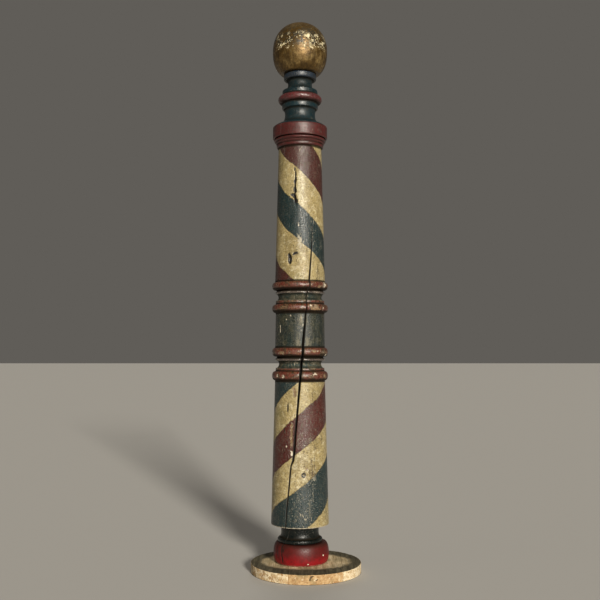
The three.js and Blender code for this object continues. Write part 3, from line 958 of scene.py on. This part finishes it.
def board_edge(look, cream, middle, fine):
    """The sawn edge of the base, with what is left of its cream paint."""
    coarse = look.noise(85, 4, 0.7, (1, 1, 1.4))
    sawn = look.ramp(coarse, [(0.38, (0.27, 0.15, 0.06)), (0.62, (0.46, 0.31, 0.155))])
    sawn = look.cover(sawn, (0.2, 0.155, 0.075), look.rise(middle, 0.48, 0.6), 0.6)
    torn = look.sum((look.noise(62, 5, 0.75), 0.7), (fine, 0.3))
    paint = look.mix(look.rise(coarse, 0.42, 0.6), (0.7, 0.6, 0.42), (0.46, 0.34, 0.19))
    return look.cover(sawn, paint, look.rise(torn, 0.58 - cream, 0.64 - cream), 0.9)


def board_wood(name, cream):
    """Weathered board with its grain along Y: a dark rim on top and old cream paint on the sawn edge."""
    look = Look(name)
    grain = look.noise(95, 5, 0.65, (1, 0.07, 1))
    middle = look.noise(26, 4)
    fine = look.noise(190, 4, 0.75)
    top = board_top(look, grain, middle, fine)
    edge = board_edge(look, cream, middle, fine)
    colour = look.mix(look.rise(look.attribute("rim_side"), 0.4, 0.6), top, edge)
    dark = look.mark("dark", look.centred_noise(60, 4), 1.2, 0, 0.35)
    colour = look.cover(colour, (0.045, 0.03, 0.014), dark, 0.85)
    height = look.sum(grain, (fine, 0.4))
    return look.finish(colour, 0.82, look.bump(height, 0.0009, 0.8), specular=0.3)


def zinc_steel():
    look = Look("zinc_steel")
    grain = look.noise(400)
    colour = look.mix(look.rise(grain, 0.3, 0.7), (0.42, 0.43, 0.44), (0.58, 0.59, 0.6))
    return look.finish(colour, look.sum(0.3, (grain, 0.25)), metallic=1)


# What each old paint has besides the defaults of old_paint.
# An underside weight darkens rows that face down as painted shade; a grime weight darkens inner corners
# with grime and painted shade.
STRIPED = dict(under=(0.3, 0.28, 0.21), mottle=0.35)
NECK = dict(wear=-0.08, flecks=0.15, relief=0.0006, sparkle=0.5)
OLD_PAINTS = {
    "upper_stripes": dict(
        STRIPED, wear=-0.015, flecks=0.24, gloss=0.42, shine=0.33, sparkle=1.4, stripes=UPPER_STRIPES,
    ),
    "lower_stripes": dict(
        STRIPED, wear=-0.01, flecks=0.34, gloss=0.5, shine=0.34, relief=0.0011, sparkle=1.2,
        stripes=LOWER_STRIPES,
    ),
    "collar_red": dict(
        colour=(0.092, 0.011, 0.01), wear=-0.07, shine=0.37, flecks=0.12, relief=0.0008, sparkle=0.6,
    ),
    "ring_red": dict(
        colour=(0.135, 0.022, 0.01), second=(0.044, 0.024, 0.008), under=(0.29, 0.155, 0.068), wear=-0.014,
        streaks=0.1, shine=0.32, gloss=0.75, flecks=0.9, underside=0.65, edge_wear=0, sparkle=1.2,
        relief=0.0009,
    ),
    # The ring groove is painted near black, a painted shade.
    "ring_groove": dict(colour=(0.007, 0.006, 0.005), wear=-0.1, flecks=0.1, gloss=0.1, shine=0.7),
    "ring_blue": dict(
        colour=(0.022, 0.05, 0.046), second=(0.16, 0.15, 0.1), under=(0.3, 0.27, 0.19), streaks=0.3,
        grime_and_shade=0.65, flecks=0.8,
    ),
    "ring_fillet": dict(
        colour=(0.09, 0.066, 0.055), under=(0.3, 0.25, 0.19), streaks=0.2, wear=0.01, shine=0.22, gloss=1,
        edge_wear=0.04, relief=0.0005,
    ),
    "drum_green": dict(
        colour=(0.004, 0.017, 0.014), second=(0.024, 0.026, 0.012), under=(0.32, 0.29, 0.2), wear=-0.008,
        mottle=0.7, streaks=0.6, shine=0.33, gloss=0.6, flecks=0.34, sparkle=1.2,
    ),
    "foot_blue": dict(
        colour=(0.002, 0.006, 0.006), wear=-0.12, shine=0.28, gloss=0.31, flecks=0, relief=0.0005,
        sparkle=0.5,
    ),
    "neck_blue": dict(NECK, colour=(0.002, 0.021, 0.029), grime_and_shade=0.75, shine=0.35),
    "neck_cap": dict(NECK, colour=(0.016, 0.028, 0.046), shine=0.36, gloss=0.5, underside=0.4),
    "neck_red": dict(
        colour=(0.12, 0.014, 0.016), wear=-0.06, shine=0.33, gloss=0.75, flecks=0.3, underside=0.3,
        relief=0.0008, sparkle=1.2,
    ),
}


def all_paints():
    paints = {name: old_paint(name, **settings) for name, settings in OLD_PAINTS.items()}
    paints["bun_red"] = bun_paint()
    paints["gilding"] = gilding()
    paints["bare_edge"] = raw_wood("bare_edge", (0.46, 0.41, 0.32), (0.18, 0.15, 0.1))
    paints["raw_end"] = raw_wood("raw_end", (0.1, 0.07, 0.04), (0.03, 0.02, 0.012))
    paints["dowel"] = raw_wood("dowel_wood", (0.55, 0.38, 0.2), (0.36, 0.22, 0.1), 0.7)
    paints["crack_wood"] = raw_wood("crack_wood", (0.02, 0.014, 0.009), (0.008, 0.006, 0.004), 0.95)
    return paints


# ---- the base boards ----

BASE_COLUMNS = 300
BASE_CHIPS = [(3, 13, 41, 0.15, 1), (1, 5, 43, 0.2, 1)]
CUT_MARGIN = 5  # the outer boards are cut only on their inner side, so their other plane lies clear
RIM_WIDTH = 45  # how far in the top is worn
RIM_FADE = 40  # how much of that it takes for the wear to fade out
TOP_SKIN = 3  # what lies no deeper than this belongs to the top
RIM_DROP = 0.4
TOP_INSET = 0.45
EDGE_INSET = 0.3
SPLIT_STEEPNESS = 1.6
SPLIT_DEPTH = 2.4

# A hooked split in the front of the sawn edge and a small knot beside it: angle, height, half width in
# degrees and half height.
BASE_SPLIT = [
    (3.6, 17, 1.1, 6), (4.6, 24, 1.6, 4), (6, 27.5, 2.2, 2.2), (10, 15, 2, 2.2), (11.2, 17, 1.2, 1.6),
]


def disc_profile():
    """From the middle of the underside, out round the sawn edge, to the middle of the top."""
    under = [(radius, FLOOR) for radius in np.arange(4, BASE_RADIUS - 3, 6)]
    under += [(BASE_RADIUS - 1.6, FLOOR), (BASE_RADIUS - 0.5, FLOOR + 0.5)]
    side = [(BASE_RADIUS, height) for height in np.linspace(FLOOR + 1.6, BASE_TOP - 2, 12)]
    rim = [(BASE_RADIUS - 0.6, BASE_TOP - 0.7), (BASE_RADIUS - 1.8, BASE_TOP - 0.2)]
    top = [(radius, BASE_TOP) for radius in np.arange(BASE_RADIUS - 3.6, 3, -4)]
    return under, side + rim, top


def base_disc():
    """Points and angles of the whole base before it is cut, and which points are on its sawn edge."""
    under, side, top = disc_profile()
    radii, heights = (np.array(column) for column in zip(*(under + side + top)))
    side_row = np.zeros(len(radii))
    side_row[len(under):len(under) + len(side) - 1] = 1
    angles = plain_angles(len(radii), BASE_COLUMNS)
    points = surface_points(radii[:, None], angles, heights[:, None] * np.ones(angles.shape))
    return points, angles, np.repeat(side_row[:, None], BASE_COLUMNS, 1)


def split_field(angles, heights):
    """Over 0 inside the split and the knot of the sawn edge."""
    field = np.full(angles.shape, -1.0)
    for at, level, wide, tall in BASE_SPLIT:
        field = np.maximum(field, 1 - np.hypot((angles - at) / wide, (heights - level) / tall))
    return field


def weathered_base():
    """The base with its rim worn, its top cupped and its sawn edge chipped and split."""
    points, angles, on_side = base_disc()
    reach = np.hypot(points[..., 0], points[..., 1])
    near_rim = np.clip((reach - BASE_RADIUS + RIM_WIDTH) / RIM_FADE, 0, 1)
    is_top = points[..., 2] > BASE_TOP - TOP_SKIN
    loss = pits(points, BASE_CHIPS) * (on_side + near_rim * is_top) / 2 + EDGE_INSET * on_side
    points[..., :2] *= (1 - loss / np.maximum(reach, 1))[..., None]
    grain = points * np.array([1, 0.06, 1])
    relief = 0.35 * noise_field(grain, 7, 47) + 0.35 * noise_field(points, 60, 49) - TOP_INSET
    points[..., 2] += np.where(is_top, relief - near_rim * RIM_DROP * (1 - on_side), 0)
    split = split_field(angles, points[..., 2]) * on_side - (1 - on_side)
    deep = np.clip(split * SPLIT_STEEPNESS, 0, 1) * SPLIT_DEPTH
    reach = np.maximum(np.hypot(points[..., 0], points[..., 1]), 1)
    points[..., :2] *= (1 - deep / reach)[..., None]
    points[..., 0] += BASE_X
    return points, on_side, split


def cut_between(piece, left, right):
    """Keeps the part of a piece between two planes of constant X and closes the cuts."""
    shape = bmesh.new()
    shape.from_mesh(piece.data)
    for plane_x, direction in ((left, -1), (right, 1)):
        cut = bmesh.ops.bisect_plane(
            shape, geom=shape.verts[:] + shape.edges[:] + shape.faces[:], plane_co=(plane_x * MM, 0, 0),
            plane_no=(direction, 0, 0), clear_outer=True,
        )
        rim = [item for item in cut["geom_cut"] if isinstance(item, bmesh.types.BMEdge)]
        if rim:
            bmesh.ops.triangle_fill(shape, edges=rim, use_beauty=True)
    bmesh.ops.recalc_face_normals(shape, faces=shape.faces)
    shape.to_mesh(piece.data)
    shape.free()


def make_base():
    points, on_side, split = weathered_base()
    rows, columns = on_side.shape
    faces = grid_faces(rows, columns)
    faces.append(list(range(columns))[::-1])
    faces.append(list(range((rows - 1) * columns, rows * columns)))
    cream_shares = {"base_board_left": 0.12, "base_board_middle": 0.03, "base_board_right": 0.2}
    for node, cream in cream_shares.items():
        low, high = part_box(node)
        left = low.x / MM - (CUT_MARGIN if node == "base_board_left" else 0)
        right = high.x / MM + (CUT_MARGIN if node == "base_board_right" else 0)
        plank = node.replace("base_board", "plank")
        materials = [board_wood(node, cream)]
        piece = new_piece(plank, points.reshape(-1, 3), faces, materials, [0] * len(faces))
        store(piece, "rim_side", on_side)
        store(piece, "dark", split)
        cut_between(piece, left, right)
        finish_piece(piece, node)


# ---- pieces ----


def finish_piece(piece, node):
    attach(piece, "root")
    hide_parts(node)


def make_turnings(paints):
    post = turned_piece("painted_post", post_stretches(), paints, AGED, MARKS)
    finish_piece(post, "post")
    neck = turned_piece("turned_neck", neck_stretches(), paints, GENTLY_AGED, NECK_MARKS, columns=150)
    finish_piece(neck, "neck_spindle")
    bun = turned_piece(
        "turned_bun", bun_stretches(), paints, GENTLY_AGED, BUN_MARKS, columns=220, axis_x=BUN_X,
    )
    finish_piece(bun, "bun_foot")
    ball = turned_piece("gilded_ball", ball_stretches(), paints, DENTED, {}, columns=200)
    finish_piece(ball, "finial_ball")


def dress_hidden_parts(paints):
    """The dowels, screws and washers keep their CAD shape and get a material."""
    steel = zinc_steel()
    for name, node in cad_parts.items():
        if "dowel" in name:
            material = paints["dowel"]
        elif name.startswith("lag_"):
            material = steel
        else:
            continue
        node.data.materials.clear()
        node.data.materials.append(material)


# ---- camera, light and floor ----

# The camera looks level, from the front, at two fifths of the pole's height.
CAMERA_DISTANCE = 2.94
CAMERA_HEIGHT = 0.73
LENS = 52.6
LENS_SHIFT = 0.0886

FLOOR_REACH = 60
FLOOR_GAP = 0.0004  # keeps the floor clear of the underside of the base


def make_camera():
    data = bpy.data.cameras.new("camera")
    data.sensor_width = 36
    data.lens = LENS
    data.shift_y = LENS_SHIFT
    data.clip_end = 100
    camera = new_object("camera", data)
    camera.location = (0, -CAMERA_DISTANCE, CAMERA_HEIGHT)
    camera.rotation_euler = (math.radians(90), 0, 0)
    bpy.context.scene.camera = camera


def make_light(name, azimuth, elevation, strength, spread, colour, glossy=True):
    """Even light from far off. Azimuth 0 is the front, positive to the right."""
    data = bpy.data.lights.new(name, "SUN")
    data.energy = strength
    data.angle = math.radians(spread)
    data.color = colour
    light = new_object(name, data)
    turn, rise = math.radians(azimuth), math.radians(elevation)
    away = Vector((math.sin(turn) * math.cos(rise), -math.cos(turn) * math.cos(rise), math.sin(rise)))
    light.rotation_euler = away.to_track_quat("Z", "Y").to_euler()
    light.visible_glossy = glossy


def make_lights():
    """A warm key from the front right, a weak fill from the left, and one so that the back isn't black."""
    make_light("key", 17, 16, 5.3, 9, (1, 0.94, 0.83))
    make_light("fill", -65, 15, 0.12, 34, (1, 0.88, 0.68), glossy=False)
    make_light("back", 180, 20, 1, 30, (1, 0.94, 0.86), glossy=False)


def make_floor():
    level = FLOOR * MM - FLOOR_GAP
    corners = [(x * FLOOR_REACH, y * FLOOR_REACH, level) for x, y in ((-1, -1), (1, -1), (1, 1), (-1, 1))]
    mesh = bpy.data.meshes.new("floor")
    mesh.from_pydata(corners, [], [(0, 1, 2, 3)])
    mesh.materials.append(Look("floor").finish((0.47, 0.46, 0.44), 0.95, specular=0.2))
    new_object("floor", mesh)


def make_world():
    world = bpy.data.worlds.new("world")
    world.use_nodes = True
    background = world.node_tree.nodes["Background"]
    background.inputs["Color"].default_value = (0.9, 0.84, 0.75, 1)
    background.inputs["Strength"].default_value = 0.13
    bpy.context.scene.world = world
    bpy.context.scene.view_settings.view_transform = "Standard"


make_camera()
make_lights()
make_floor()
make_world()
paints = all_paints()
make_turnings(paints)
make_base()
dress_hidden_parts(paints)
